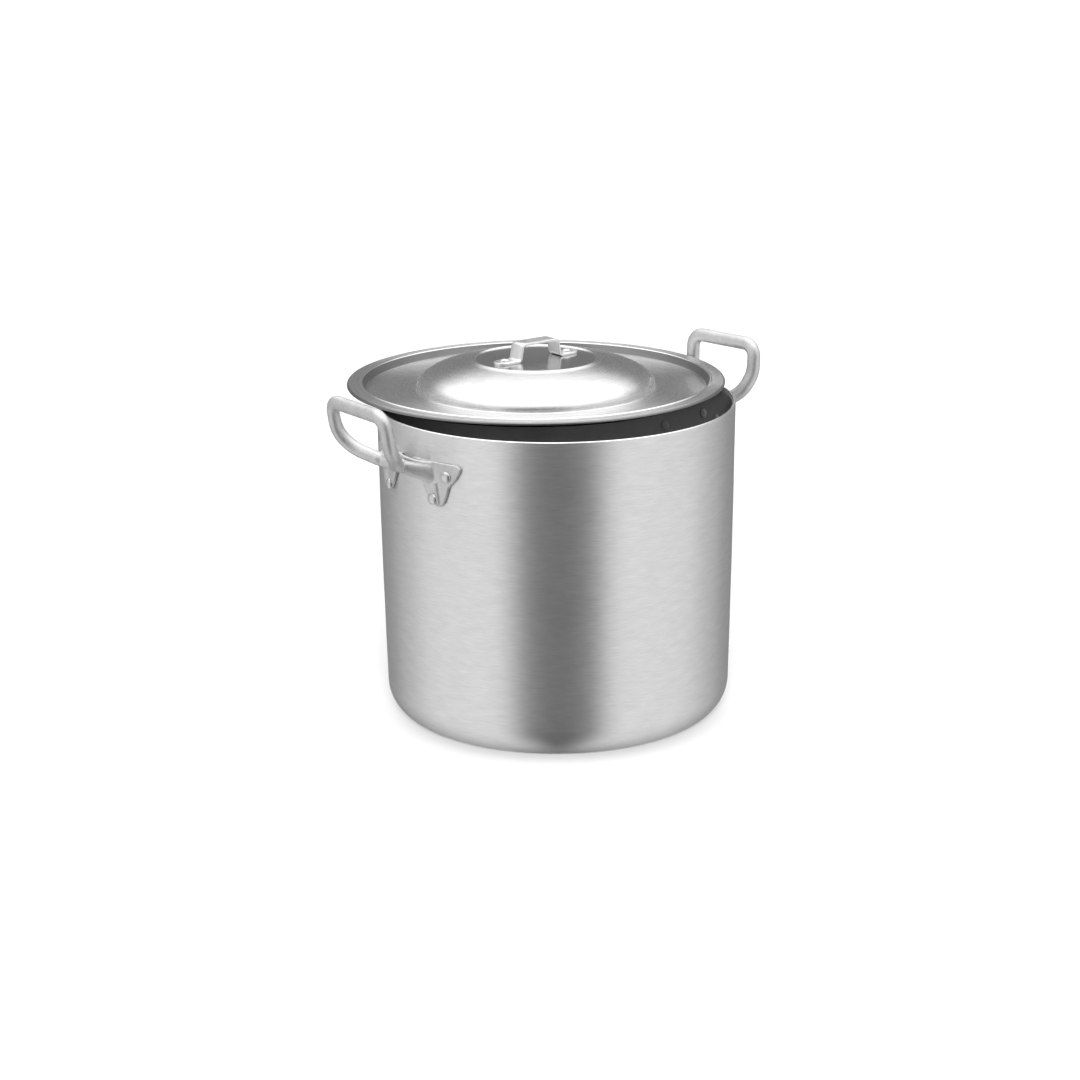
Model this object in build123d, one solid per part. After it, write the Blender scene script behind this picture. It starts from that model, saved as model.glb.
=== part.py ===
from build123d import *
import math
import os

# Aluminium stock pot with a loose lid, in millimetres.
# Frame: +Z up, origin at the centre of the pot's underside, +X through the right handle.
# Two cast handles face each other along X, each held by six rivets.  The lid is drawn
# where it lies: slid back over the mouth, its sunken ring resting on the pot's rim.

# ---- pot ----
POT_HEIGHT = 270.0
RIM_RADIUS = 150.0          # outside of the wall at the top
MID_RADIUS = 148.6          # outside of the wall half way up: the wall is barely barrelled
BASE_RADIUS = 146.0         # outside of the wall where the bottom corner starts
CORNER_RADIUS = 29.0        # bottom corner, outside
WALL = 2.4
FLOOR = 3.0
LIP_RADIUS = WALL / 2       # the rim's edge is rolled smooth
COATING = 0.4               # dark non-stick layer on the inside

# ---- lid: heights are measured from the top of its flat outer flange ----
LID_RADIUS = 161.0
LID_SHEET = 1.2
HEM_DEPTH = 2.6             # turned-down edge
STEP_TOP_RADIUS = 149.0     # the flange ends and steps down to the sunken ring
STEP_FOOT_RADIUS = 145.4
RING_DEPTH = 6.5
DOME_RADIUS = 102.4
CREST_RADIUS = 56.0
CREST_HEIGHT = 18.3
DISC_RADIUS = 50.5
DISC_HEIGHT = 17.3
LID_SHIFT_X = 13.8          # where the loose lid lies
LID_SHIFT_Y = 46.2
LID_GAP = 0.3               # between the rim and the ring that rests on it
LID_FLANGE_Z = POT_HEIGHT + LID_GAP + LID_SHEET + RING_DEPTH

# ---- strap handle on the lid ----
STRAP_WIDTH = 16.0
STRAP_SHEET = 2.0
STRAP_FOOT_END = 43.0       # half the strap's overall length
STRAP_RIVET_X = 33.0
STRAP_LEG_FOOT = 21.0       # half spacing of the legs at the lid
STRAP_LEG_TOP = 18.5        # and at the bridge
STRAP_HEIGHT = 16.0         # top of the bridge above the disc
STRAP_RIVET_RADIUS = 2.0
STRAP_HEAD_RADIUS = 4.2
STRAP_HEAD_HEIGHT = 2.4

# ---- side handles: x is out from the pot's axis, y along the wall, z up ----
BAR_RADIUS = 5.0
PLATE = 2.4
CROTCH = (169.0, 8.5, 242.6)        # where the two legs of the loop come together
ARM_END = (143.0, 33.0, 235.0)      # where the middle of each arm has sunk into its foot
ARM_END_HEIGHT = 19.0               # the arm broadens into a fin where it meets the foot
ARM_END_THICKNESS = 7.0
LEG_FILLETS = [30.0, 30.0, 11.0]    # corner radii of one leg, from the crotch to the grip
# Each handle: its direction, how much higher its feet are riveted than drawn below, the turn
# of its loop about the crotch, and the corners of one leg as (out from the crotch, along the
# wall, height).  The two loops lean differently.
LOOPS = {
    "right": {
        "azimuth": 0.0,
        "lift": 4.0,
        "turn": 6.5,
        "leg": [(9.6, 30.8, 254.5), (17.0, 35.8, 272.0), (18.0, 36.0, 296.2)],
    },
    "left": {
        "azimuth": 180.0,
        "lift": 0.0,
        "turn": -1.0,
        "leg": [(13.9, 31.6, 250.6), (24.2, 39.0, 264.2), (29.2, 39.0, 290.8)],
    },
}
# Foot plate outline: (distance along the wall, depth below the rim).
FOOT_OUTLINE = [
    (8.0, 23.4), (55.0, 23.4), (59.6, 27.0), (54.6, 35.5), (47.2, 43.0), (44.4, 51.0),
    (41.8, 57.5), (37.5, 60.6), (31.0, 59.0), (26.4, 56.0), (23.0, 51.0), (17.8, 40.2), (8.0, 34.0),
]
# Rivets of one foot: (distance along the wall, depth below the rim).
FOOT_RIVETS = [(20.4, 34.4), (45.0, 34.4), (30.6, 54.4)]
RIVET_RADIUS = 2.5
RIVET_HEAD_RADIUS = 4.35
RIVET_HEAD_HEIGHT = 2.9
INNER_HEAD_RADIUS = 4.2
INNER_HEAD_HEIGHT = 1.9
HEAD_CLEARANCE = 0.3
HEAD_BAND = 0.2             # share of a head's height that is its upright edge


def wall_radius(height, outward=0.0):
    """Outer radius of the pot's wall at a height, moved outward by a given amount."""
    low = (CORNER_RADIUS, BASE_RADIUS)
    high = (POT_HEIGHT, RIM_RADIUS)
    share = (height - low[0]) / (high[0] - low[0])
    straight = low[1] + (high[1] - low[1]) * share
    belly = MID_RADIUS - (BASE_RADIUS + RIM_RADIUS) / 2
    return straight + 4 * belly * share * (1 - share) + outward


def wall_edges(outward, floor_z, top_z):
    """Profile of the vessel from the axis to the top of the wall, moved outward by a given amount."""
    corner = CORNER_RADIUS + outward
    if outward < 0:
        corner = CORNER_RADIUS - FLOOR
    start = floor_z + corner
    foot = (wall_radius(start, outward), start)
    middle_z = (start + top_z) / 2
    middle = (wall_radius(middle_z, outward), middle_z)
    top = (wall_radius(top_z, outward), top_z)
    inner = foot[0] - corner
    bend = (inner + corner * math.sin(math.pi / 4), start - corner * math.cos(math.pi / 4))
    edges = [
        Line((0, floor_z), (inner, floor_z)),
        ThreePointArc((inner, floor_z), bend, foot),
        ThreePointArc(foot, middle, top),
    ]
    return edges, top


def turned(edges):
    """Solid of revolution about Z of a closed outline drawn as (radius, height)."""
    return revolve(Plane.XZ * make_face(edges), Axis.Z)


def pot_blank():
    edges, outer_top = wall_edges(0.0, 0.0, POT_HEIGHT - LIP_RADIUS)
    inner_edges, inner_top = wall_edges(-WALL, FLOOR, POT_HEIGHT - LIP_RADIUS)
    lip_top = ((outer_top[0] + inner_top[0]) / 2, POT_HEIGHT)
    lip = ThreePointArc(outer_top, lip_top, inner_top)
    axis = Line((0, 0), (0, FLOOR))
    return turned(edges + inner_edges + [lip, axis])


def filled_pot():
    """The pot's outer shape, filled: it trims the handles to lie flush on the wall."""
    edges, top = wall_edges(0.0, 0.0, POT_HEIGHT - LIP_RADIUS)
    return turned(edges + [Line(top, (0, top[1])), Line((0, top[1]), (0, 0))])


def coating_blank():
    top_z = POT_HEIGHT - LIP_RADIUS
    outer_edges, outer_top = wall_edges(-WALL, FLOOR, top_z)
    inner_edges, inner_top = wall_edges(-WALL - COATING, FLOOR + COATING, top_z)
    ends = [Line(outer_top, inner_top), Line((0, FLOOR), (0, FLOOR + COATING))]
    return turned(outer_edges + inner_edges + ends)


def wall_ring(inward, outward, low_z, high_z):
    """Ring that follows the wall between two heights, from inside its face to outside it."""
    middle_z = (low_z + high_z) / 2

    def side(offset):
        heights = (low_z, middle_z, high_z)
        return [(wall_radius(z, offset), z) for z in heights]

    inside = side(-inward)
    outside = side(outward)
    outline = [
        ThreePointArc(*inside),
        ThreePointArc(*outside),
        Line(inside[0], outside[0]),
        Line(inside[2], outside[2]),
    ]
    return turned(outline)


def foot_plate(side, lift, ring):
    """Flat foot of a handle, wrapped on the wall; side is +1 or -1 along the wall."""
    corners = []
    for along, depth in FOOT_OUTLINE:
        y = RIM_RADIUS * math.sin(along / RIM_RADIUS)
        corners.append((side * y, POT_HEIGHT - depth + lift))
    outline = Plane.YZ * make_face(Polyline(*corners, close=True))
    return extrude(outline, 200.0, dir=(1, 0, 0)) & ring


def loop_point(loop, out, along, height):
    turn = math.radians(loop["turn"])
    x = CROTCH[0] + out * math.cos(turn) - along * math.sin(turn)
    y = out * math.sin(turn) + along * math.cos(turn)
    return (x, y, height)


def arm_fin(side, lift):
    """Arm from the crotch to its foot: round at the crotch, a tall thin fin at the foot."""
    start = Vector(CROTCH[0] - 1.0, side * (CROTCH[1] + 1.0), CROTCH[2])
    end = Vector(ARM_END[0], side * ARM_END[1], ARM_END[2] + lift)
    along = end - start
    root = Plane(origin=start, x_dir=(0, 0, 1), z_dir=along) * Circle(BAR_RADIUS - 0.5)
    fin = Ellipse(ARM_END_HEIGHT / 2, ARM_END_THICKNESS / 2)
    return loft([root, Plane(origin=end, x_dir=(0, 0, 1), z_dir=along) * fin])


def handle_casting(loop, ring, blank):
    """One cast handle on the +X side: loop, arms, web and two feet in one piece."""
    legs = []
    for side in (1, -1):
        leg = [(CROTCH[0], side * CROTCH[1], CROTCH[2])]
        for out, along, height in loop["leg"]:
            leg.append(loop_point(loop, out, side * along, height))
        legs.append(leg)
    route = legs[0] + legs[1][::-1]
    path = FilletPolyline(*route, radius=LEG_FILLETS + LEG_FILLETS[::-1])
    casting = sweep(Plane(origin=path @ 0, z_dir=path % 0) * Circle(BAR_RADIUS), path=path)
    half_web = CROTCH[1] + 3.0
    web = extrude(Circle(BAR_RADIUS - 0.3), 2 * half_web)
    casting += Plane(origin=(CROTCH[0], -half_web, CROTCH[2]), z_dir=(0, 1, 0)) * web
    for side in (1, -1):
        casting += arm_fin(side, loop["lift"])
        casting += foot_plate(side, loop["lift"], ring)
    casting -= blank
    for along, depth in rivet_places(loop):
        casting -= head_pocket(along, depth)
        casting -= rivet_hole(along, depth)
    return casting


def rivet_seat(along, depth):
    """Plane square to the wall, on its outer face at a rivet, with its normal pointing out."""
    angle = along / RIM_RADIUS
    height = POT_HEIGHT - depth
    radius = wall_radius(height)
    lean = (wall_radius(height + 1.0) - wall_radius(height - 1.0)) / 2.0
    origin = (radius * math.cos(angle), radius * math.sin(angle), height)
    return Plane(origin=origin, z_dir=(math.cos(angle), math.sin(angle), -lean))


def domed_head(radius, height):
    """Domed rivet head standing on its own XY plane: a short band under a round cap."""
    band = height * HEAD_BAND
    rise = height - band
    sphere = (radius ** 2 + rise ** 2) / (2 * rise)
    cap = Pos(0, 0, height - sphere) * Sphere(sphere)
    return extrude(Circle(radius), height) & cap


def side_rivet(along, depth):
    """Rivet through foot, wall and coating.  The inner head clears the hollow of the wall."""
    hollow = INNER_HEAD_RADIUS ** 2 / (2 * (BASE_RADIUS - WALL - COATING))
    inside = -WALL - COATING - hollow
    shank = Pos(0, 0, inside) * extrude(Circle(RIVET_RADIUS), PLATE - inside)
    outer_head = Pos(0, 0, PLATE) * domed_head(RIVET_HEAD_RADIUS, RIVET_HEAD_HEIGHT)
    inner_head = Pos(0, 0, inside) * Rot(180, 0, 0) * domed_head(INNER_HEAD_RADIUS, INNER_HEAD_HEIGHT)
    return rivet_seat(along, depth) * (shank + outer_head + inner_head)


def rivet_places(loop):
    """Where a handle's six rivets go, as (distance along the wall, depth below the rim)."""
    return [(side * along, depth - loop["lift"]) for side in (1, -1) for along, depth in FOOT_RIVETS]


def rivet_hole(along, depth):
    drill = Pos(0, 0, -20) * extrude(Circle(RIVET_RADIUS), 40)
    return rivet_seat(along, depth) * drill


def head_pocket(along, depth):
    """Room for a rivet's outer head where an arm passes over it."""
    gap = HEAD_CLEARANCE
    room = extrude(Circle(RIVET_HEAD_RADIUS + gap), RIVET_HEAD_HEIGHT + gap)
    return rivet_seat(along, depth) * Pos(0, 0, PLATE) * room


def lid_sheet():
    """Spun lid, one sheet: hem, flange, step, sunken ring, dome, crest and centre disc."""
    half = LID_SHEET / 2
    edge = LID_RADIUS - half
    route = [
        (edge, -HEM_DEPTH),
        (edge, -half),
        (STEP_TOP_RADIUS, -half),
        (STEP_FOOT_RADIUS, -RING_DEPTH - half),
        (DOME_RADIUS, -RING_DEPTH - half),
        (DOME_RADIUS - 3.2, 1.6),
        (88.0, 9.0),
        (72.0, 14.0),
        (CREST_RADIUS, CREST_HEIGHT - half),
        (DISC_RADIUS, DISC_HEIGHT - half),
        (0, DISC_HEIGHT - half),
    ]
    radii = [1.0, 1.6, 2.0, 2.2, 11.0, 40.0, 90.0, 14.0, 8.0]
    middle = FilletPolyline(*route, radius=radii)
    section = trace(middle, LID_SHEET)
    section -= Pos(-50, 0) * Rectangle(100, 200)
    return revolve(Plane.XZ * section.face(), Axis.Z)


def strap():
    """Bent strap with rounded feet, standing on the disc."""
    half = STRAP_SHEET / 2
    route = [
        (-STRAP_FOOT_END, half),
        (-STRAP_LEG_FOOT, half),
        (-STRAP_LEG_TOP, STRAP_HEIGHT - half),
        (STRAP_LEG_TOP, STRAP_HEIGHT - half),
        (STRAP_LEG_FOOT, half),
        (STRAP_FOOT_END, half),
    ]
    middle = FilletPolyline(*route, radius=[3.5, 3.2, 3.2, 3.5])
    band = extrude(Plane.XZ * trace(middle, STRAP_SHEET), STRAP_WIDTH / 2, both=True)
    plan = SlotOverall(2 * STRAP_FOOT_END, STRAP_WIDTH)
    return band & extrude(plan, STRAP_HEIGHT + 5.0)


def strap_rivet():
    """Rivet through the strap's foot and the lid, standing on the foot at z = 0."""
    through = STRAP_SHEET + LID_SHEET
    shank = Pos(0, 0, -through) * extrude(Circle(STRAP_RIVET_RADIUS), through)
    top = domed_head(STRAP_HEAD_RADIUS, STRAP_HEAD_HEIGHT)
    lower_head = domed_head(STRAP_HEAD_RADIUS - 0.4, STRAP_HEAD_HEIGHT - 0.8)
    under = Pos(0, 0, -through) * Rot(180, 0, 0) * lower_head
    return shank + top + under


def build_parts():
    parts = {}
    solid_pot = filled_pot()
    foot_ring = wall_ring(2.0, PLATE, 200.0, 255.0)

    holes = []
    for loop in LOOPS.values():
        for along, depth in rivet_places(loop):
            holes.append(Rot(0, 0, loop["azimuth"]) * rivet_hole(along, depth))
    body = pot_blank() - holes
    coating = coating_blank() - holes
    parts["pot_body"] = body
    parts["nonstick_coating"] = coating

    for name, loop in LOOPS.items():
        place = Rot(0, 0, loop["azimuth"])
        parts[f"{name}_handle"] = place * handle_casting(loop, foot_ring, solid_pot)
        for number, (along, depth) in enumerate(rivet_places(loop), start=1):
            parts[f"{name}_handle_rivet_{number}"] = place * side_rivet(along, depth)

    lid_place = Pos(LID_SHIFT_X, LID_SHIFT_Y, LID_FLANGE_Z)
    disc_place = lid_place * Pos(0, 0, DISC_HEIGHT)
    pan = lid_place * lid_sheet()
    band = disc_place * strap()
    for number, x in enumerate((-STRAP_RIVET_X, STRAP_RIVET_X), start=1):
        place = disc_place * Pos(x, 0, STRAP_SHEET)
        drill = place * Pos(0, 0, -10) * extrude(Circle(STRAP_RIVET_RADIUS), 20)
        pan -= drill
        band -= drill
        parts[f"lid_strap_rivet_{number}"] = place * strap_rivet()
    parts["lid_pan"] = pan
    parts["lid_strap"] = band
    return parts


def main():
    os.makedirs("parts", exist_ok=True)
    for name, shape in build_parts().items():
        solids = shape.solids()
        print(name, len(solids), "solid", round(sum(s.volume for s in solids), 1), "mm3")
        export_step(shape, f"parts/{name}.step")


main()
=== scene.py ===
import math

import bpy
import numpy as np
from mathutils import Matrix, Vector


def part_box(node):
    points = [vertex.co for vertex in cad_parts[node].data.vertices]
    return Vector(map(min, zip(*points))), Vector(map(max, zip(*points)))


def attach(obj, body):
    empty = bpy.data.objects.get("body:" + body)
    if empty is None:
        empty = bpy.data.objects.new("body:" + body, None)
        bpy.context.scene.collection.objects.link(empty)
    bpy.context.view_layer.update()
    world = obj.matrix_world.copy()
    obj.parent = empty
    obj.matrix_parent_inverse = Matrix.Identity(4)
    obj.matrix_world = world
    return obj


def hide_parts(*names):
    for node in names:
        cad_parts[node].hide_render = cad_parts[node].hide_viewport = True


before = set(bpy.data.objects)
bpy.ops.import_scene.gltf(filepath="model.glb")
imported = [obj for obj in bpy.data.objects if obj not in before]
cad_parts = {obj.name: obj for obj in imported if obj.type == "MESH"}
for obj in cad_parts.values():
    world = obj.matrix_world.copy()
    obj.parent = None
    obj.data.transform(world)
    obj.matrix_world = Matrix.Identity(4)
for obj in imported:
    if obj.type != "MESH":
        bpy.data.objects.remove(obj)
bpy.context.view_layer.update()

MM = 0.001

# ---- sizes, in millimetres, as the frame has them ----
BODY_LOW, BODY_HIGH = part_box("pot_body")
RIM_RADIUS = BODY_HIGH.x / MM
POT_HEIGHT = BODY_HIGH.z / MM
MID_RADIUS = 148.6
BASE_RADIUS = 146.0
CORNER_RADIUS = 29.0
WALL = 2.4
FLOOR = 3.0
COATING = 0.4

LID_LOW, LID_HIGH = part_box("lid_pan")
LID_X = (LID_LOW.x + LID_HIGH.x) / 2 / MM
LID_Y = (LID_LOW.y + LID_HIGH.y) / 2 / MM
LID_RADIUS = (LID_HIGH.x - LID_LOW.x) / 2 / MM
LID_FLANGE_Z = 278.0
LID_SHEET = 1.2
LID_EDGE_RADIUS = 1.9       # the flange rolls over into the hem
HEM_DROP = 2.3              # the hem's straight side ends this far below the flange
RING_LEVEL = -6.5           # sunken ring, from the flange
STEP_FOOT_RADIUS = 144.4    # the ring ends and the step up to the flange starts
DOME_FOOT_RADIUS = 102.3
DOME_CREST_RADIUS = 56.2
DISC_RADIUS = 50.0
DISC_HEIGHT = 17.3

STRAP_END = 42.8            # half the strap's length
STRAP_LEG_FOOT = 21.0       # half spacing of the legs at the lid
STRAP_LEG_TOP = 18.5        # and at the bridge
STRAP_RIVET_X = 33.0
STRAP_HEIGHT = 16.0
STRAP_SHEET = 2.0
STRAP_WIDTH = 16.0
STRAP_BEVEL = 0.45

# Rivets: head radius, head height, inner head radius, inner head height.
SIDE_RIVET = (4.75, 2.6, 4.6, 1.9)
STRAP_RIVET = (4.1, 2.3, 3.7, 1.5)

PLATE = 2.4
CROTCH = (169.0, 8.5, 242.6)
ARM_END = (143.0, 33.0, 235.0)
LEG_FILLETS = [4.0, 30.0, 30.0, 11.0]
LOOPS = {
    "right": {"azimuth": 0.0, "lift": 4.0, "turn": 6.5,
              "leg": [(9.6, 30.8, 254.5), (17.0, 35.8, 272.0), (18.0, 36.0, 296.2)]},
    "left": {"azimuth": 180.0, "lift": 0.0, "turn": -1.0,
             "leg": [(13.9, 31.6, 250.6), (24.2, 39.0, 264.2), (29.2, 39.0, 290.8)]},
}
FOOT_OUTLINE = [
    (8.0, 23.4), (55.0, 23.4), (59.6, 27.0), (54.6, 35.5), (47.2, 43.0), (44.4, 51.0),
    (41.8, 57.5), (37.5, 60.6), (31.0, 59.0), (26.4, 56.0), (23.0, 51.0), (17.8, 40.2), (8.0, 34.0),
]
FOOT_RIVETS = [(20.4, 34.4), (45.0, 34.4), (30.6, 54.4)]
FOOT_RIB = [(34.0, 40.0), (35.0, 46.0), (36.0, 52.0), (36.4, 58.0)]

VOXEL = 0.75                # of the castings' remesh
SMOOTHING = 4               # rounds of smoothing after it

VIEW_TURN = 37.0            # the camera stands this far round from -Y, towards -X
VIEW_TILT = 73.827
VIEW_ROLL = -0.516
VIEW_PLACE = (-1.3041, -1.7064, 0.7702)
LENS = 87.67
FILL_ELEVATION = 19.0


# ---- small helpers ----

def new_object(name, vertices, faces, smooth=True):
    mesh = bpy.data.meshes.new(name)
    mesh.from_pydata([tuple(v) for v in vertices], [], faces)
    mesh.validate()
    mesh.update()
    if smooth:
        mesh.polygons.foreach_set("use_smooth", [True] * len(mesh.polygons))
    piece = bpy.data.objects.new(name, mesh)
    bpy.context.scene.collection.objects.link(piece)
    return piece


def wall_radius(height):
    """Outer radius of the pot's wall, in millimetres."""
    share = (height - CORNER_RADIUS) / (POT_HEIGHT - CORNER_RADIUS)
    belly = MID_RADIUS - (BASE_RADIUS + RIM_RADIUS) / 2
    return BASE_RADIUS + (RIM_RADIUS - BASE_RADIUS) * share + 4 * belly * share * (1 - share)


def arc(cx, cz, radius, start, end, steps):
    """Points of an arc in the (radius, height) plane, angles in degrees from +radius."""
    points = []
    for i in range(steps + 1):
        a = math.radians(start + (end - start) * i / steps)
        points.append((cx + radius * math.cos(a), cz + radius * math.sin(a)))
    return points


def rounded(points, radii, steps=8):
    """A polyline with each inner corner rounded to a radius; works in two or three dimensions."""
    points = [np.array(p, float) for p in points]
    out = [points[0]]
    for i, radius in enumerate(radii, start=1):
        here = points[i]
        back = points[i - 1] - here
        ahead = points[i + 1] - here
        back /= np.linalg.norm(back)
        ahead /= np.linalg.norm(ahead)
        half = math.acos(max(-1.0, min(1.0, float(back @ ahead)))) / 2
        reach = radius / math.tan(half)
        middle = back + ahead
        centre = here + middle / np.linalg.norm(middle) * radius / math.sin(half)
        first = here + back * reach - centre
        last = here + ahead * reach - centre
        sweep = math.pi - 2 * half
        for k in range(steps + 1):
            t = k / steps
            a = math.sin((1 - t) * sweep) / math.sin(sweep)
            b = math.sin(t * sweep) / math.sin(sweep)
            out.append(centre + first * a + last * b)
    out.append(points[-1])
    return out


def spaced(points, step):
    """The same line with points no further apart than a step."""
    out = [points[0]]
    for a, b in zip(points[:-1], points[1:]):
        a, b = np.array(a, float), np.array(b, float)
        count = max(1, int(math.ceil(np.linalg.norm(b - a) / step)))
        for k in range(1, count + 1):
            out.append(a + (b - a) * k / count)
    return out


def lathe(name, profile, centre=(0.0, 0.0), base=0.0, segments=360, wave=None):
    """Closed solid of revolution.  The profile runs from axis to axis, in millimetres."""
    rings = [(max(float(r), 0.0), float(z)) for r, z in profile]
    vertices = []
    index = []
    for r, z in rings:
        if r < 1e-4:
            index.append([len(vertices)])
            vertices.append((centre[0] * MM, centre[1] * MM, (base + z) * MM))
            continue
        row = []
        for k in range(segments):
            a = 2 * math.pi * k / segments
            dr, dz = wave(r, z, a) if wave else (0.0, 0.0)
            row.append(len(vertices))
            x = centre[0] + (r + dr) * math.cos(a)
            y = centre[1] + (r + dr) * math.sin(a)
            vertices.append((x * MM, y * MM, (base + z + dz) * MM))
        index.append(row)
    faces = []
    for low, high in zip(index[:-1], index[1:]):
        for k in range(segments):
            n = (k + 1) % segments
            if len(low) == 1:
                faces.append((low[0], high[n], high[k]))
            elif len(high) == 1:
                faces.append((low[k], low[n], high[0]))
            else:
                faces.append((low[k], low[n], high[n], high[k]))
    return new_object(name, vertices, faces)


# ---- materials ----

class Nodes:
    """Builds one procedural material."""

    def __init__(self, name):
        self.material = bpy.data.materials.new(name)
        self.material.use_nodes = True
        self.tree = self.material.node_tree
        self.shader = self.tree.nodes["Principled BSDF"]

    def add(self, kind, **settings):
        node = self.tree.nodes.new(kind)
        for key, value in settings.items():
            setattr(node, key, value)
        return node

    def link(self, source, target):
        self.tree.links.new(source, target)

    def math(self, operation, a, b=None):
        node = self.add("ShaderNodeMath", operation=operation)
        for socket, value in zip(node.inputs, (a, b)):
            if value is None:
                continue
            if isinstance(value, (int, float)):
                socket.default_value = value
            else:
                self.link(value, socket)
        return node.outputs[0]

    def point(self):
        split = self.add("ShaderNodeSeparateXYZ")
        self.link(self.add("ShaderNodeTexCoord").outputs["Object"], split.inputs[0])
        return split.outputs

    def combine(self, x, y, z):
        node = self.add("ShaderNodeCombineXYZ")
        for socket, value in zip(node.inputs, (x, y, z)):
            if isinstance(value, (int, float)):
                socket.default_value = value
            else:
                self.link(value, socket)
        return node.outputs[0]

    def noise(self, vector, scale, detail=4.0, roughness=0.6):
        node = self.add("ShaderNodeTexNoise")
        node.inputs["Scale"].default_value = scale
        node.inputs["Detail"].default_value = detail
        node.inputs["Roughness"].default_value = roughness
        if vector is not None:
            self.link(vector, node.inputs["Vector"])
        return node.outputs["Fac"]

    def spread(self, value, low, high, start=0.3, end=0.7):
        node = self.add("ShaderNodeMapRange")
        node.inputs["From Min"].default_value = start
        node.inputs["From Max"].default_value = end
        node.inputs["To Min"].default_value = low
        node.inputs["To Max"].default_value = high
        self.link(value, node.inputs["Value"])
        return node.outputs["Result"]

    def grey(self, value):
        node = self.add("ShaderNodeCombineColor")
        for socket in node.inputs[:3]:
            self.link(value, socket)
        return node.outputs[0]

    def bump(self, value, depth, strength=1.0, below=None):
        node = self.add("ShaderNodeBump")
        node.inputs["Strength"].default_value = strength
        node.inputs["Distance"].default_value = depth
        self.link(value, node.inputs["Height"])
        if below is not None:
            self.link(below, node.inputs["Normal"])
        return node.outputs[0]

    def brushed_round(self):
        """Highlights spread across marks that run round the Z axis."""
        tangent = self.add("ShaderNodeTangent", direction_type="RADIAL", axis="Z")
        self.link(tangent.outputs[0], self.shader.inputs["Tangent"])

    def set(self, **values):
        for key, value in values.items():
            self.shader.inputs[key.replace("_", " ")].default_value = value


def wall_metal():
    """Drawn wall: fine brushing that runs round the pot."""
    n = Nodes("brushed_wall")
    x, y, z = n.point()
    turn = n.math("ARCTAN2", y, x)
    lines = n.combine(n.math("MULTIPLY", turn, 0.004), 0.0, z)
    fine = n.noise(lines, 2400.0, 4.0, 0.75)
    broad = n.noise(n.combine(n.math("MULTIPLY", turn, 0.05), 0.0, z), 160.0, 3.0, 0.6)
    cloud = n.noise(n.combine(x, y, z), 14.0, 2.0, 0.5)
    n.set(Metallic=1.0, Anisotropic=0.85, Anisotropic_Rotation=0.25)
    tone = n.math("MULTIPLY", n.spread(fine, 0.83, 1.06), n.spread(broad, 0.955, 1.03))
    n.link(n.grey(n.math("MULTIPLY", tone, 0.88)), n.shader.inputs["Base Color"])
    rough = n.math("ADD", n.spread(fine, 0.33, 0.40), n.spread(cloud, -0.015, 0.02))
    n.link(rough, n.shader.inputs["Roughness"])
    n.link(n.bump(fine, 0.00002, 0.5, n.bump(broad, 0.00006, 0.4)), n.shader.inputs["Normal"])
    n.brushed_round()
    return n.material


def rim_metal():
    """Rolled rim, polished by handling."""
    n = Nodes("polished_rim")
    x, y, z = n.point()
    turn = n.math("ARCTAN2", y, x)
    marks = n.noise(n.combine(n.math("MULTIPLY", turn, 0.15), 0.0, z), 260.0, 4.0, 0.6)
    n.set(Metallic=1.0)
    n.link(n.grey(n.spread(marks, 0.86, 0.95)), n.shader.inputs["Base Color"])
    n.link(n.spread(marks, 0.16, 0.30), n.shader.inputs["Roughness"])
    n.link(n.bump(marks, 0.00006, 0.4), n.shader.inputs["Normal"])
    return n.material


def coating_finish():
    """Matte dark layer with a faint orange peel and rub marks."""
    n = Nodes("matte_coating")
    x, y, z = n.point()
    place = n.combine(x, y, z)
    peel = n.noise(place, 900.0, 3.0, 0.6)
    rubbed = n.noise(place, 26.0, 5.0, 0.65)
    turn = n.math("ARCTAN2", y, x)
    drawn = n.noise(n.combine(n.math("MULTIPLY", turn, 0.03), 0.0, z), 900.0, 3.0, 0.6)
    tone = n.math("ADD", n.spread(rubbed, 0.092, 0.116), n.spread(drawn, -0.008, 0.008))
    n.link(n.grey(tone), n.shader.inputs["Base Color"])
    n.link(n.spread(rubbed, 0.50, 0.64), n.shader.inputs["Roughness"])
    n.set(Specular_IOR_Level=0.45)
    n.link(n.bump(peel, 0.00005, 0.45, n.bump(drawn, 0.00004, 0.3)), n.shader.inputs["Normal"])
    return n.material


def spun_metal(name, tone, rough, anisotropy, mark_depth):
    """Spun sheet: marks that run in circles about the lid's own axis."""
    n = Nodes(name)
    x, y, z = n.point()
    px = n.math("SUBTRACT", x, LID_X * MM)
    py = n.math("SUBTRACT", y, LID_Y * MM)
    radius = n.math("SQRT", n.math("ADD", n.math("MULTIPLY", px, px), n.math("MULTIPLY", py, py)))
    turn = n.math("ARCTAN2", py, px)
    fine = n.noise(n.combine(radius, n.math("MULTIPLY", turn, 0.003), z), 1300.0, 3.0, 0.7)
    broad = n.noise(n.combine(radius, n.math("MULTIPLY", turn, 0.03), 0.0), 240.0, 3.0, 0.6)
    n.set(Metallic=1.0, Anisotropic=anisotropy, Anisotropic_Rotation=0.25)
    shade = n.math("MULTIPLY", n.spread(fine, 0.90, 1.04), n.spread(broad, 0.93, 1.04))
    n.link(n.grey(n.math("MULTIPLY", shade, tone)), n.shader.inputs["Base Color"])
    n.link(n.spread(fine, rough - 0.03, rough + 0.04), n.shader.inputs["Roughness"])
    lines = n.bump(fine, 0.00002 * mark_depth, 0.5, n.bump(broad, 0.00008 * mark_depth, 0.4))
    n.link(lines, n.shader.inputs["Normal"])
    n.brushed_round()
    return n.material


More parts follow.
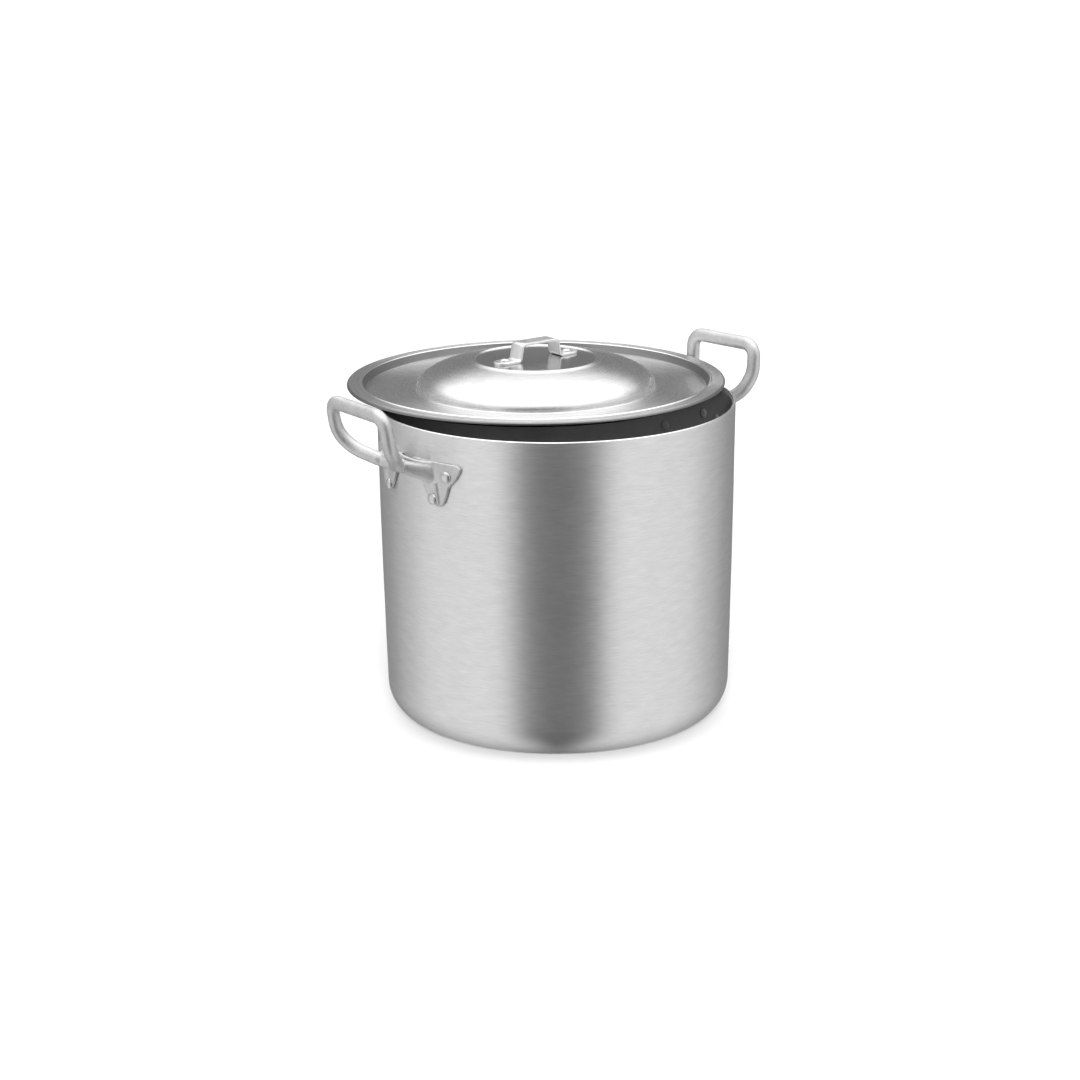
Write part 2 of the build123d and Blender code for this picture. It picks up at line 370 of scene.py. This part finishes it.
def cast_metal():
    """Tumbled casting: soft skin, small pits, brighter and darker in broad patches."""
    n = Nodes("cast_satin")
    x, y, z = n.point()
    place = n.combine(x, y, z)
    skin = n.noise(place, 420.0, 5.0, 0.65)
    pits = n.noise(place, 1500.0, 2.0, 0.5)
    cloud = n.noise(place, 55.0, 3.0, 0.55)
    n.set(Metallic=1.0)
    tone = n.math("ADD", n.spread(cloud, 0.64, 0.78), n.spread(skin, -0.06, 0.06))
    n.link(n.grey(tone), n.shader.inputs["Base Color"])
    n.link(n.spread(skin, 0.44, 0.62), n.shader.inputs["Roughness"])
    n.link(n.bump(pits, 0.00004, 0.3, n.bump(skin, 0.00022, 0.6)), n.shader.inputs["Normal"])
    return n.material


def rivet_metal():
    """Headed rivets: hammer marks and a tone that varies in broad clouds."""
    n = Nodes("rivet_head")
    x, y, z = n.point()
    place = n.combine(x, y, z)
    dents = n.noise(place, 700.0, 2.0, 0.5)
    cloud = n.noise(place, 120.0, 3.0, 0.6)
    n.set(Metallic=1.0)
    n.link(n.grey(n.spread(cloud, 0.66, 0.80)), n.shader.inputs["Base Color"])
    n.link(n.spread(dents, 0.24, 0.40), n.shader.inputs["Roughness"])
    n.link(n.bump(dents, 0.00015, 0.5), n.shader.inputs["Normal"])
    return n.material


def strap_metal():
    """Polished strip, drawn lengthwise."""
    n = Nodes("strap_strip")
    x, y, z = n.point()
    stretched = n.combine(n.math("MULTIPLY", x, 0.03), y, n.math("MULTIPLY", z, 0.03))
    lines = n.noise(stretched, 2200.0, 3.0, 0.6)
    rub = n.noise(n.combine(x, y, z), 90.0, 3.0, 0.6)
    n.set(Metallic=1.0)
    n.link(n.grey(n.spread(rub, 0.84, 0.93)), n.shader.inputs["Base Color"])
    rough = n.math("ADD", n.spread(lines, 0.30, 0.40), n.spread(rub, -0.03, 0.05))
    n.link(rough, n.shader.inputs["Roughness"])
    n.link(n.bump(lines, 0.00002, 0.5), n.shader.inputs["Normal"])
    return n.material


# ---- pot ----

def outer_wall(top, steps=60):
    """Profile of the outside from the axis up to a height."""
    inner = BASE_RADIUS - CORNER_RADIUS
    points = [(0.0, 0.0)]
    points += [(inner * k / 12, 0.0) for k in range(1, 12)]
    points += arc(inner, CORNER_RADIUS, CORNER_RADIUS, -90, 0, 28)
    for k in range(1, steps + 1):
        z = CORNER_RADIUS + (top - CORNER_RADIUS) * k / steps
        points.append((wall_radius(z), z))
    return points


def inner_wall(offset, floor, top, steps=60):
    """Profile of the inside from a height down to the axis."""
    corner = CORNER_RADIUS - FLOOR
    start = floor + corner
    points = []
    for k in range(steps + 1):
        z = top + (start - top) * k / steps
        points.append((wall_radius(z) - offset, z))
    foot = wall_radius(start) - offset
    points += arc(foot - corner, start, corner, 0, -90, 24)[1:]
    points += [((foot - corner) * (12 - k) / 12, floor) for k in range(1, 13)]
    return points


def wall_wave(r, z, a):
    """The wall is a little out of true, as a drawn pot is after use."""
    if r < 120.0:
        return 0.0, 0.0
    fade = min(1.0, max(0.0, (z - 30.0) / 60.0)) * min(1.0, max(0.0, (268.0 - z) / 30.0))
    swell = 0.10 * math.sin(3 * a + 1.3) + 0.07 * math.sin(7 * a + 0.016 * z)
    ripple = 0.03 * math.sin(0.11 * z + 2 * math.sin(a + 0.4))
    return fade * (swell * 0.6 + ripple - 0.12), 0.0


def make_pot(wall, rim):
    lip = WALL / 2
    top = POT_HEIGHT - lip
    profile = outer_wall(top)
    centre = (wall_radius(top) + wall_radius(top) - WALL) / 2
    profile += arc(centre, top, lip, 0, 180, 14)[1:-1]
    profile += inner_wall(WALL, FLOOR, top)
    pot = lathe("pot_shell", profile, wave=wall_wave)
    pot.data.materials.append(wall)
    pot.data.materials.append(rim)
    for face in pot.data.polygons:
        if face.center.z > (POT_HEIGHT - 2.0) * MM:
            face.material_index = 1
    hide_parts("pot_body")
    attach(pot, "pot")
    return pot


def make_coating(finish):
    gap = 0.03
    top = POT_HEIGHT - 1.0
    outside = inner_wall(WALL + gap, FLOOR + gap, top)
    inside = inner_wall(WALL + COATING, FLOOR + COATING, top - 0.1)
    profile = outside[::-1] + inside
    layer = lathe("inner_coating", profile)
    layer.data.materials.append(finish)
    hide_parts("nonstick_coating")
    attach(layer, "pot")
    return layer


# ---- side handles ----

def loop_point(loop, out, along, height):
    turn = math.radians(loop["turn"])
    x = CROTCH[0] + out * math.cos(turn) - along * math.sin(turn)
    y = out * math.sin(turn) + along * math.cos(turn)
    return (x, y, height)


def tube(path, size, sides=20):
    """Closed tube along a path; size(t) gives half width, half height and squareness at share t."""
    path = [np.array(p, float) for p in path]
    lengths = [0.0]
    for a, b in zip(path[:-1], path[1:]):
        lengths.append(lengths[-1] + float(np.linalg.norm(b - a)))
    vertices = []
    rows = []
    side = None
    for i, p in enumerate(path):
        ahead = path[min(i + 1, len(path) - 1)] - path[max(i - 1, 0)]
        ahead /= np.linalg.norm(ahead)
        if side is None:
            side = np.cross(ahead, np.array((0.0, 0.0, 1.0)))
        side = side - ahead * float(side @ ahead)
        side /= np.linalg.norm(side)
        lift = np.cross(side, ahead)
        width, height, power = size(lengths[i] / lengths[-1])
        row = []
        for k in range(sides):
            a = 2 * math.pi * k / sides
            c, s = math.cos(a), math.sin(a)
            u = math.copysign(abs(c) ** power, c) * width
            v = math.copysign(abs(s) ** power, s) * height
            row.append(len(vertices))
            vertices.append(p + side * u + lift * v)
        rows.append(row)
    faces = []
    for low, high in zip(rows[:-1], rows[1:]):
        for k in range(sides):
            n = (k + 1) % sides
            faces.append((low[k], low[n], high[n], high[k]))
    faces.append(tuple(rows[0][::-1]))
    faces.append(tuple(rows[-1]))
    return vertices, faces


def plate_solid(side, lift):
    """Foot plate wrapped on the wall, a little into it so that the remesh closes well."""
    corners = [2.0, 2.4, 3.0, 4.0, 5.0, 3.0, 2.6, 3.0, 3.0, 3.0, 5.0, 1.0]
    outline = rounded(FOOT_OUTLINE + [FOOT_OUTLINE[0]], corners, steps=3)
    outline = spaced(outline, 1.5)[:-1]
    ring = []
    for along, depth in outline:
        a = side * along / RIM_RADIUS
        ring.append((a, POT_HEIGHT - depth + lift))
    middle = (sum(a for a, z in ring) / len(ring), sum(z for a, z in ring) / len(ring))
    rows = []
    vertices = []
    layers = [(0.0, -1.6), (1.0, -1.6), (1.0, PLATE - 0.7), (0.992, PLATE - 0.25), (0.975, PLATE)]
    for share in (0.9, 0.75, 0.55, 0.35, 0.15, 0.0):
        layers.append((share * 0.975, PLATE))
    for share, out in layers:
        row = []
        for a, z in ring:
            aa = middle[0] + (a - middle[0]) * share
            zz = middle[1] + (z - middle[1]) * share
            r = wall_radius(zz) + out
            row.append(len(vertices))
            vertices.append(np.array((r * math.cos(aa), r * math.sin(aa), zz)))
            if share == 0.0:
                break
        rows.append(row)
    faces = []
    count = len(ring)
    for low, high in zip(rows[:-1], rows[1:]):
        for k in range(count):
            n = (k + 1) % count
            if len(low) == 1:
                faces.append((low[0], high[n], high[k]))
            elif len(high) == 1:
                faces.append((low[k], low[n], high[0]))
            else:
                faces.append((low[k], low[n], high[n], high[k]))
    return vertices, faces


def handle_solids(loop):
    """The overlapping closed solids that are melted into one casting."""
    lift = loop["lift"]
    legs = []
    for side in (1, -1):
        leg = [(CROTCH[0] - 5.0, side * (CROTCH[1] + 5.5), CROTCH[2] - 1.0),
               (CROTCH[0], side * CROTCH[1], CROTCH[2])]
        for out, along, height in loop["leg"]:
            leg.append(loop_point(loop, out, side * along, height))
        legs.append(leg)
    route = legs[0] + legs[1][::-1]
    path = spaced(rounded(route, LEG_FILLETS + LEG_FILLETS[::-1], steps=12), 2.5)

    def bar(t):
        grip = math.exp(-((t - 0.5) / 0.25) ** 6)
        return 5.7 + 0.2 * grip, 5.6 - 0.75 * grip, 0.9

    solids = [tube(path, bar, sides=24)]
    web = [(CROTCH[0] + 0.3, y, CROTCH[2] - 0.4) for y in (-12.0, -6.0, 0.0, 6.0, 12.0)]
    solids.append(tube(web, lambda t: (4.0, 4.6, 0.9), sides=20))
    ridge = [(CROTCH[0] + 1.0, y, CROTCH[2] + 4.4 + 0.008 * y * y) for y in (-14, -7, 0, 7, 14)]
    solids.append(tube(ridge, lambda t: (1.3, 1.5, 1.0), sides=12))
    for side in (1, -1):
        start = np.array((CROTCH[0] - 0.5, side * (CROTCH[1] + 0.5), CROTCH[2]))
        end = np.array((ARM_END[0] + 0.5, side * (ARM_END[1] + 0.6), ARM_END[2] + lift))
        shares = np.linspace(0.0, 1.0, 12)
        arm = [start + (end - start) * t for t in shares]
        solids.append(tube(arm, lambda t: (4.6 - 1.3 * t, 4.7 + 4.4 * t, 0.9), sides=24))
        crest = [p + np.array((0.6, 0.0, crest_height(t))) for p, t in zip(arm, shares)]
        solids.append(tube(crest, lambda t: (1.5, 1.4, 1.0), sides=12))
        gusset = [p + np.array((0.4, 0.0, crest_height(t) / 2)) for p, t in zip(arm, shares)]
        solids.append(tube(gusset, lambda t: (1.5, crest_height(t) / 2, 0.8), sides=16))
        solids.append(plate_solid(side, lift))
        rib = []
        for along, depth in FOOT_RIB:
            z = POT_HEIGHT - depth + lift
            r = wall_radius(z) + PLATE - 0.2
            angle = side * along / RIM_RADIUS
            rib.append((r * math.cos(angle), r * math.sin(angle), z))
        solids.append(tube(rib, lambda t: (1.9 - 0.4 * t, 1.5, 1.0), sides=12))
    return solids


def crest_height(t):
    """Top of the arm's thin ridge above its middle, from the near leg (0) to the foot (1)."""
    return 4.6 + 4.6 * t + 7.0 * (1.0 - t) ** 4


def melt(name, solids, voxel, smoothing):
    """Joins closed solids into one skin with soft inner corners."""
    vertices = []
    faces = []
    for points, quads in solids:
        base = len(vertices)
        vertices += [np.array(p) * MM for p in points]
        faces += [tuple(base + i for i in f) for f in quads]
    piece = new_object(name, vertices, faces)
    bpy.context.view_layer.objects.active = piece
    melted = piece.modifiers.new("melt", "REMESH")
    melted.mode = "VOXEL"
    melted.voxel_size = voxel * MM
    soften = piece.modifiers.new("soften", "SMOOTH")
    soften.factor = 0.5
    soften.iterations = smoothing
    graph = bpy.context.evaluated_depsgraph_get()
    mesh = bpy.data.meshes.new_from_object(piece.evaluated_get(graph))
    piece.modifiers.clear()
    piece.data = mesh
    mesh.polygons.foreach_set("use_smooth", [True] * len(mesh.polygons))
    return piece


def seat_on_wall(piece):
    """Skin that is inside the wall is drawn out to lie just off its face."""
    co = np.zeros(len(piece.data.vertices) * 3)
    piece.data.vertices.foreach_get("co", co)
    co = co.reshape(-1, 3) / MM
    radius = np.hypot(co[:, 0], co[:, 1])
    limit = wall_radius(co[:, 2]) + 0.05
    scale = np.where(radius < limit, limit / np.maximum(radius, 1e-6), 1.0)
    co[:, 0] *= scale
    co[:, 1] *= scale
    piece.data.vertices.foreach_set("co", (co * MM).ravel())
    piece.data.update()


def make_handle(name, loop, metal):
    piece = melt(f"{name}_loop_casting", handle_solids(loop), VOXEL, SMOOTHING)
    seat_on_wall(piece)
    piece.data.transform(Matrix.Rotation(math.radians(loop["azimuth"]), 4, "Z"))
    piece.data.materials.append(metal)
    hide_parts(f"{name}_handle")
    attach(piece, "pot")
    return piece


# ---- rivets ----

def rivet_mesh(head, crown, under, under_height, grip, seed):
    """Rivet about Z: z = 0 under the outer head; the inner head starts at -grip."""
    shank = head * 0.57
    profile = [(0.0, -grip - under_height)]
    for k in range(1, 9):
        a = math.radians(90 * k / 8)
        profile.append((under * math.sin(a), -grip - under_height * (0.12 + 0.88 * math.cos(a))))
    profile += [(under, -grip), (shank, -grip + 0.02), (shank, -0.02), (head, 0.0), (head, crown * 0.14)]
    for k in range(1, 14):
        a = math.radians(90 * k / 13)
        profile.append((head * math.cos(a) ** 0.92, crown * (0.14 + 0.86 * math.sin(a))))
    profile[-1] = (0.0, crown)

    def hammered(r, z, a):
        if z <= 0.1 or r > head * 0.99:
            return 0.0, 0.0
        push = 0.10 * math.sin(2 * a + seed) + 0.06 * math.sin(3 * a + 1.7 * seed)
        return push * (r / head) * 0.8, -0.12 * math.cos(a + seed * 2.3) * (r / head)

    return profile, hammered


def place_rivet(name, profile, wave, matrix, metal, node, body, coated=None):
    piece = lathe(name, profile, segments=36, wave=wave)
    piece.data.materials.append(metal)
    if coated:
        piece.data.materials.append(coated)
        for face in piece.data.polygons:
            if face.center.z < -(PLATE + WALL) * MM:
                face.material_index = 1
    piece.data.transform(matrix)
    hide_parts(node)
    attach(piece, body)
    return piece


def seat_matrix(azimuth, along, depth, out):
    angle = math.radians(azimuth) + along / RIM_RADIUS
    z = POT_HEIGHT - depth
    lean = (wall_radius(z + 1.0) - wall_radius(z - 1.0)) / 2
    normal = Vector((math.cos(angle), math.sin(angle), -lean)).normalized()
    turn = Vector((0, 0, 1)).rotation_difference(normal).to_matrix().to_4x4()
    r = (wall_radius(z) + out) * MM
    return Matrix.Translation((r * math.cos(angle), r * math.sin(angle), z * MM)) @ turn


def make_side_rivets(metal, coated):
    for name, loop in LOOPS.items():
        places = [(side * along, depth) for side in (1, -1) for along, depth in FOOT_RIVETS]
        for number, (along, depth) in enumerate(places, start=1):
            seed = number * 1.9 + loop["azimuth"]
            profile, wave = rivet_mesh(*SIDE_RIVET, PLATE + WALL + COATING + 0.05, seed)
            matrix = seat_matrix(loop["azimuth"], along, depth - loop["lift"], PLATE + 0.03)
            node = f"{name}_handle_rivet_{number}"
            place_rivet(f"{name}_rivet_{number}_headed", profile, wave, matrix, metal, node, "pot", coated)


# ---- lid ----

def dome_height(r):
    """Outside of the dome above the flange's top, from the sunken ring up to the crest."""
    t = min(1.0, max(0.0, (r - 55.7) / 46.6))
    return RING_LEVEL + 23.67 * (1 - t ** 1.2) ** (1 / 2.35)


def lid_top():
    """Upper face of the lid, from the axis out to the edge."""
    points = [(DISC_RADIUS * k / 16, DISC_HEIGHT) for k in range(17)]
    crest = [(DISC_RADIUS, DISC_HEIGHT), (51.2, DISC_HEIGHT), (52.6, 18.35), (54.2, 18.4),
             (DOME_CREST_RADIUS, 17.5)]
    points += rounded(crest, [0.8, 0.8, 0.8], steps=5)[1:]
    count = 46
    for k in range(1, count + 1):
        # Steps are shorter where the dome falls steeply.
        share = math.sin(math.pi / 2 * k / count) ** 0.9
        r = DOME_CREST_RADIUS + (DOME_FOOT_RADIUS - DOME_CREST_RADIUS) * share
        points.append((r, min(dome_height(r), 17.5)))
    points[-1] = (DOME_FOOT_RADIUS + 0.05, RING_LEVEL)
    ring = [points[-1], (103.4, -6.75), (105.5, RING_LEVEL), (125.0, -6.45), (STEP_FOOT_RADIUS, RING_LEVEL)]
    points += spaced(rounded(ring, [0.8, 3.0, 60.0], steps=4), 4.0)[1:]
    step = [(STEP_FOOT_RADIUS, RING_LEVEL), (145.6, RING_LEVEL), (147.7, 0.1), (148.7, 0.75),
            (149.9, -0.12), (151.6, 0.0)]
    points += rounded(step, [1.2, 0.6, 0.7, 0.8], steps=5)[1:]
    points += [(153.0, 0.0), (155.5, 0.0), (158.0, 0.0)]
    points += arc(LID_RADIUS - LID_EDGE_RADIUS, -LID_EDGE_RADIUS, LID_EDGE_RADIUS, 90, 0, 10)
    return [(float(r), float(z)) for r, z in points]


def lid_wave(r, z, a):
    """Spun sheet is never quite true: the flange and ring waver slightly."""
    reach = max(0.0, (r - 100.0) / 60.0)
    lift = 0.10 * math.sin(2 * a + 0.7) + 0.05 * math.sin(5 * a + 2.0)
    return 0.0, (lift - 0.05) * reach


def in_hem(r, z):
    """Whether a point of the lower face is where the hem's own sheet is."""
    return r > LID_RADIUS - LID_SHEET - 0.2 or (z < -LID_SHEET - 0.6 and r > 155.0)


def make_lid(metal, dome, disc, step, hem_and_slope_painted_shade):
    top = lid_top()
    bottom = []
    for i in range(len(top)):
        a = np.array(top[max(i - 1, 0)])
        b = np.array(top[min(i + 1, len(top) - 1)])
        ahead = (b - a) / np.linalg.norm(b - a)
        r = max(top[i][0] + LID_SHEET * ahead[1], 0.0)
        bottom.append((r, top[i][1] - LID_SHEET * ahead[0]))
    bottom[0] = (0.0, top[0][1] - LID_SHEET)
    hem = [(LID_RADIUS, -HEM_DROP)]
    hem += arc(LID_RADIUS - LID_SHEET / 2, -HEM_DROP, LID_SHEET / 2, 0, -180, 8)[1:]
    # The lower face stops where it would run into the hem.
    last = len(bottom) - 1
    while in_hem(*bottom[last]):
        last -= 1
    under = [(LID_RADIUS - LID_SHEET, -LID_EDGE_RADIUS)] + bottom[: last + 1][::-1]
    profile = (top + hem + under)[::-1]
    lid = lathe("spun_lid", profile, (LID_X, LID_Y), LID_FLANGE_Z, 360, lid_wave)
    for material in (metal, dome, disc, step, hem_and_slope_painted_shade):
        lid.data.materials.append(material)
    for face in lid.data.polygons:
        x = face.center.x / MM - LID_X
        y = face.center.y / MM - LID_Y
        r = math.hypot(x, y)
        if r < 50.5:
            face.material_index = 2
        elif r < DOME_FOOT_RADIUS:
            face.material_index = 1
        # The hem and the step's slope take the dark tone of painted shade.
        elif r > 159.8 or 145.3 < r < 147.2:
            face.material_index = 4
        elif 144.2 < r < 149.8:
            face.material_index = 3
    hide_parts("lid_pan")
    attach(lid, "lid")
    return lid


def make_strap(metal):
    half = STRAP_SHEET / 2
    bridge = STRAP_HEIGHT - half
    route = [(-STRAP_END, half), (-STRAP_LEG_FOOT, half), (-STRAP_LEG_TOP, bridge),
             (STRAP_LEG_TOP, bridge), (STRAP_LEG_FOOT, half), (STRAP_END, half)]
    path = spaced(rounded(route, [3.2, 3.0, 3.0, 3.2], steps=10), 1.0)
    total = sum(float(np.linalg.norm(b - a)) for a, b in zip(path[:-1], path[1:]))
    vertices = []
    rows = []
    run = 0.0
    for i, p in enumerate(path):
        if i:
            run += float(np.linalg.norm(p - path[i - 1]))
        ahead = path[min(i + 1, len(path) - 1)] - path[max(i - 1, 0)]
        ahead /= np.linalg.norm(ahead)
        normal = np.array((-ahead[1], ahead[0]))
        tip = min(run, total - run)
        reach = STRAP_WIDTH * 0.62
        share = 1.0 if tip >= reach else math.sqrt(max(0.0, 1 - (1 - tip / reach) ** 2)) * 0.98 + 0.02
        w = STRAP_WIDTH / 2 * share
        edge = min(STRAP_BEVEL, w * 0.5)
        cut = edge * 0.3
        section = [(-w + edge, half), (-w / 3, half), (w / 3, half), (w - edge, half),
                   (w - cut, half - cut), (w, half - edge), (w, -half + edge), (w - cut, -half + cut),
                   (w - edge, -half), (w / 3, -half), (-w / 3, -half), (-w + edge, -half),
                   (-w + cut, -half + cut), (-w, -half + edge), (-w, half - edge), (-w + cut, half - cut)]
        row = []
        for across, off in section:
            row.append(len(vertices))
            x = p[0] + normal[0] * off
            z = p[1] + normal[1] * off
            height = LID_FLANGE_Z + DISC_HEIGHT + z
            vertices.append(((LID_X + x) * MM, (LID_Y + across) * MM, height * MM))
        rows.append(row)
    faces = []
    for low, high in zip(rows[:-1], rows[1:]):
        for k in range(len(low)):
            n = (k + 1) % len(low)
            faces.append((low[k], high[k], high[n], low[n]))
    faces.append(tuple(rows[0]))
    faces.append(tuple(rows[-1][::-1]))
    strap = new_object("bent_strap", vertices, faces)
    strap.data.materials.append(metal)
    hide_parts("lid_strap")
    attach(strap, "lid")
    return strap


def make_strap_rivets(metal):
    for number, x in enumerate((-STRAP_RIVET_X, STRAP_RIVET_X), start=1):
        profile, wave = rivet_mesh(*STRAP_RIVET, STRAP_SHEET + LID_SHEET, number * 2.2)
        z = LID_FLANGE_Z + DISC_HEIGHT + STRAP_SHEET
        matrix = Matrix.Translation(((LID_X + x) * MM, LID_Y * MM, z * MM))
        node = f"lid_strap_rivet_{number}"
        place_rivet(f"strap_rivet_{number}_headed", profile, wave, matrix, metal, node, "lid")


# ---- studio ----

def make_camera():
    data = bpy.data.cameras.new("camera")
    data.sensor_width = 36.0
    data.lens = LENS
    data.clip_end = 200.0
    camera = bpy.data.objects.new("camera", data)
    bpy.context.scene.collection.objects.link(camera)
    camera.location = VIEW_PLACE
    turn = Matrix.Rotation(math.radians(-VIEW_TURN), 4, "Z")
    tilt = Matrix.Rotation(math.radians(VIEW_TILT), 4, "X")
    roll = Matrix.Rotation(math.radians(VIEW_ROLL), 4, "Z")
    camera.matrix_world = Matrix.Translation(camera.location) @ turn @ tilt @ roll
    bpy.context.scene.camera = camera


def ramp(tree, stops):
    node = tree.nodes.new("ShaderNodeValToRGB")
    node.color_ramp.interpolation = "EASE"
    elements = node.color_ramp.elements
    while len(elements) < len(stops):
        elements.new(0.5)
    for element, (place, level) in zip(elements, stops):
        element.position = place
        element.color = (level, level, level, 1.0)
    return node


def make_world():
    """Soft studio: bright banks left and right and overhead, dim in front and behind."""
    world = bpy.data.worlds.new("studio")
    bpy.context.scene.world = world
    world.use_nodes = True
    tree = world.node_tree
    out = tree.nodes["Background"]
    where = tree.nodes.new("ShaderNodeTexCoord")
    turn = tree.nodes.new("ShaderNodeMapping")
    turn.inputs["Rotation"].default_value = (0.0, 0.0, math.radians(VIEW_TURN))
    split = tree.nodes.new("ShaderNodeSeparateXYZ")
    tree.links.new(where.outputs["Generated"], turn.inputs["Vector"])
    tree.links.new(turn.outputs["Vector"], split.inputs[0])
    x, y, z = split.outputs

    def calc(operation, a, b=None):
        node = tree.nodes.new("ShaderNodeMath")
        node.operation = operation
        for socket, value in zip(node.inputs, (a, b)):
            if value is None:
                continue
            if isinstance(value, (int, float)):
                socket.default_value = value
            else:
                tree.links.new(value, socket)
        return node.outputs[0]

    # 0 towards the camera, 0.5 at right angles, 1 straight behind the object.
    angle = calc("DIVIDE", calc("ABSOLUTE", calc("ARCTAN2", x, calc("MULTIPLY", y, -1.0))), math.pi)
    around = ramp(tree, AROUND)
    tree.links.new(angle, around.inputs[0])
    up = calc("MULTIPLY_ADD", z, 0.5)
    up.node.inputs[2].default_value = 0.5
    height = ramp(tree, HEIGHT)
    tree.links.new(up, height.inputs[0])
    mix = tree.nodes.new("ShaderNodeMix")
    mix.data_type = "RGBA"
    mix.inputs["B"].default_value = (OVERHEAD, OVERHEAD, OVERHEAD, 1.0)
    tree.links.new(height.outputs["Color"], mix.inputs["Factor"])
    tree.links.new(around.outputs["Color"], mix.inputs["A"])
    tree.links.new(mix.outputs["Result"], out.inputs["Color"])
    out.inputs["Strength"].default_value = 1.0


# Brightness round the room, from the camera's side to straight behind the object.
AROUND = [(0.0, 0.07), (0.09, 0.11), (0.24, 0.82), (0.50, 0.80), (0.66, 0.54), (0.78, 0.32), (1.0, 0.22)]
# Share of the overhead bank, from straight down (0) through level (0.5) to straight up (1).
HEIGHT = [(0.0, 0.0), (0.70, 0.0), (0.86, 0.9), (1.0, 1.0)]
OVERHEAD = 1.75
FILL = 9.5


def make_fill():
    """A lamp by the camera that reaches into the pot.  It is hidden from glossy rays, so it lights
    only what is not metal: the coating and the floor.  It throws a shadow on the floor."""
    data = bpy.data.lights.new("fill", "SUN")
    data.energy = FILL
    data.angle = math.radians(24.0)
    fill = bpy.data.objects.new("fill", data)
    bpy.context.scene.collection.objects.link(fill)
    turn = Matrix.Rotation(math.radians(-VIEW_TURN), 4, "Z")
    fill.matrix_world = turn @ Matrix.Rotation(math.radians(90.0 - FILL_ELEVATION), 4, "X")
    fill.visible_glossy = False


def make_floor():
    size = 40.0
    floor = new_object("floor", [(-size, -size, 0), (size, -size, 0), (size, size, 0), (-size, size, 0)],
                       [(0, 1, 2, 3)], smooth=False)
    n = Nodes("pale_floor")
    n.set(Base_Color=(0.54, 0.54, 0.54, 1.0), Roughness=0.9, Specular_IOR_Level=0.1)
    floor.data.materials.append(n.material)
    floor.location.z = -0.0002
    floor.visible_glossy = False


# Lid finishes: name, tone, roughness, anisotropy, depth of the turning marks.
LID_FINISHES = [
    ("spun_flange", 0.88, 0.29, 0.88, 0.35),
    # Painted shade: the dome and the disc are the same sheet as the flange, given darker tones to take down
    # their light.
    ("spun_dome_painted_shade", 0.80, 0.27, 0.80, 0.2),
    ("spun_disc_painted_shade", 0.66, 0.16, 0.50, 0.4),
    ("spun_step", 0.88, 0.15, 0.20, 0.4),
    # Painted shade: the hem and the step's slope get a dark tone that stands in for the shade and dark
    # reflections that run round the lid there.
    ("spun_hem_and_slope_painted_shade", 0.30, 0.30, 0.30, 0.6),
]


def main():
    bpy.context.scene.view_settings.view_transform = "Standard"
    make_camera()
    make_world()
    make_fill()
    make_floor()
    wall = wall_metal()
    rivet = rivet_metal()
    cast = cast_metal()
    make_pot(wall, rim_metal())
    coating = coating_finish()
    make_coating(coating)
    for name, loop in LOOPS.items():
        make_handle(name, loop, cast)
    make_side_rivets(rivet, coating)
    make_lid(*[spun_metal(*finish) for finish in LID_FINISHES])
    make_strap(strap_metal())
    make_strap_rivets(rivet)


main()
